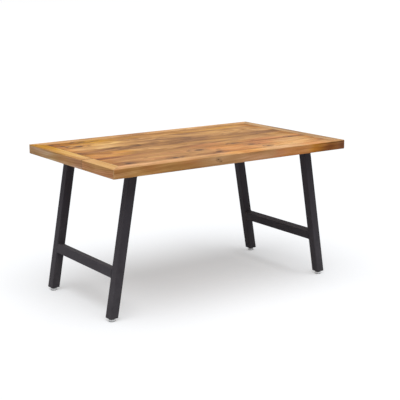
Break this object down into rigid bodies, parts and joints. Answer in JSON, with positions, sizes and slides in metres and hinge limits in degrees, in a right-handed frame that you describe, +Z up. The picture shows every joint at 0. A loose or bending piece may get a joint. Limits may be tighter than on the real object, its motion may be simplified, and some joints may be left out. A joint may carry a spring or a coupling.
{
  "type": "sawhorse table",
  "caption": "Rectangular dining table: mitre-framed plank top on two outward-leaning square-tube steel trestles with levelling feet.",
  "frame": {"origin": "on the floor, under the middle of the top", "axes": "+X along the top, towards the end whose edge board is one piece; +Y across the top; +Z up"},
  "size_m": [1.405, 0.835, 0.75],
  "materials": {
    "wood_field": "oiled, satin, tongue-and-grooved planks",
    "wood_edge": "oiled, satin, eased edges",
    "wood_inner": "planed, unfinished",
    "steel_black": "fine powder coat, satin",
    "zinc": "zinc plated",
    "brass": "turned",
    "plastic_black": "moulded",
    "plastic_grey": "moulded"
  },
  "bodies": {
    "table": {"front_board": "wood_edge", "rear_board": "wood_edge", "left_end_board_rear": "wood_edge", "left_end_board_front": "wood_edge", "right_end_board": "wood_edge", "plank_1": "wood_field", "plank_2": "wood_field", "plank_3": "wood_field", "plank_4": "wood_field", "plank_5": "wood_field", "plank_6": "wood_field", "plank_7": "wood_field", "plank_8": "wood_field", "mitre_splines": "wood_inner", "end_board_dowels": "wood_inner", "batten_1": "wood_inner", "batten_2": "wood_inner", "batten_3": "wood_inner", "batten_4": "wood_inner", "front_rail": "steel_black", "rear_rail": "steel_black", "left_cross_rail": "steel_black", "right_cross_rail": "steel_black", "left_stretcher": "steel_black", "right_stretcher": "steel_black", "plank_screws": "zinc", "rail_end_caps": "plastic_black", "threaded_inserts": "brass", "leg_bolts": "zinc", "bolt_washers": "zinc", "leg_plate_front_left": "steel_black", "leg_front_left": "steel_black", "leg_plug_front_left": "plastic_black", "leg_plate_front_right": "steel_black", "leg_front_right": "steel_black", "leg_plug_front_right": "plastic_black", "leg_plate_rear_left": "steel_black", "leg_rear_left": "steel_black", "leg_plug_rear_left": "plastic_black", "leg_plate_rear_right": "steel_black", "leg_rear_right": "steel_black", "leg_plug_rear_right": "plastic_black"},
    "foot_front_left": {"foot_pad_front_left": "plastic_grey"},
    "screw_front_left": {"foot_screw_front_left": "zinc"},
    "foot_front_right": {"foot_pad_front_right": "plastic_grey"},
    "screw_front_right": {"foot_screw_front_right": "zinc"},
    "foot_rear_left": {"foot_pad_rear_left": "plastic_grey"},
    "screw_rear_left": {"foot_screw_rear_left": "zinc"},
    "foot_rear_right": {"foot_pad_rear_right": "plastic_grey"},
    "screw_rear_right": {"foot_screw_rear_right": "zinc"}
  },
  "joints": [
    {"name": "height_front_left", "type": "slide", "parent": "table", "child": "foot_front_left", "axis": [0, 0, 1], "range_m": [-0.012, 0.0018]},
    {"name": "turn_front_left", "type": "hinge", "parent": "foot_front_left", "child": "screw_front_left", "pos_m": [-0.65328, -0.293, 0.011], "axis": [0, 0, 1], "range_deg": [-3458, 520]},
    {"name": "height_front_right", "type": "slide", "parent": "table", "child": "foot_front_right", "axis": [0, 0, 1], "range_m": [-0.012, 0.0018]},
    {"name": "turn_front_right", "type": "hinge", "parent": "foot_front_right", "child": "screw_front_right", "pos_m": [0.65328, -0.293, 0.011], "axis": [0, 0, 1], "range_deg": [-3458, 520]},
    {"name": "height_rear_left", "type": "slide", "parent": "table", "child": "foot_rear_left", "axis": [0, 0, 1], "range_m": [-0.012, 0.0018]},
    {"name": "turn_rear_left", "type": "hinge", "parent": "foot_rear_left", "child": "screw_rear_left", "pos_m": [-0.65328, 0.293, 0.011], "axis": [0, 0, 1], "range_deg": [-3458, 520]},
    {"name": "height_rear_right", "type": "slide", "parent": "table", "child": "foot_rear_right", "axis": [0, 0, 1], "range_m": [-0.012, 0.0018]},
    {"name": "turn_rear_right", "type": "hinge", "parent": "foot_rear_right", "child": "screw_rear_right", "pos_m": [0.65328, 0.293, 0.011], "axis": [0, 0, 1], "range_deg": [-3458, 520]}
  ],
  "couplings": [
    {"joint": "turn_front_left", "follows": "height_front_left", "rad_per_m": 5026.5},
    {"joint": "turn_front_right", "follows": "height_front_right", "rad_per_m": 5026.5},
    {"joint": "turn_rear_left", "follows": "height_rear_left", "rad_per_m": 5026.5},
    {"joint": "turn_rear_right", "follows": "height_rear_right", "rad_per_m": 5026.5}
  ]
}
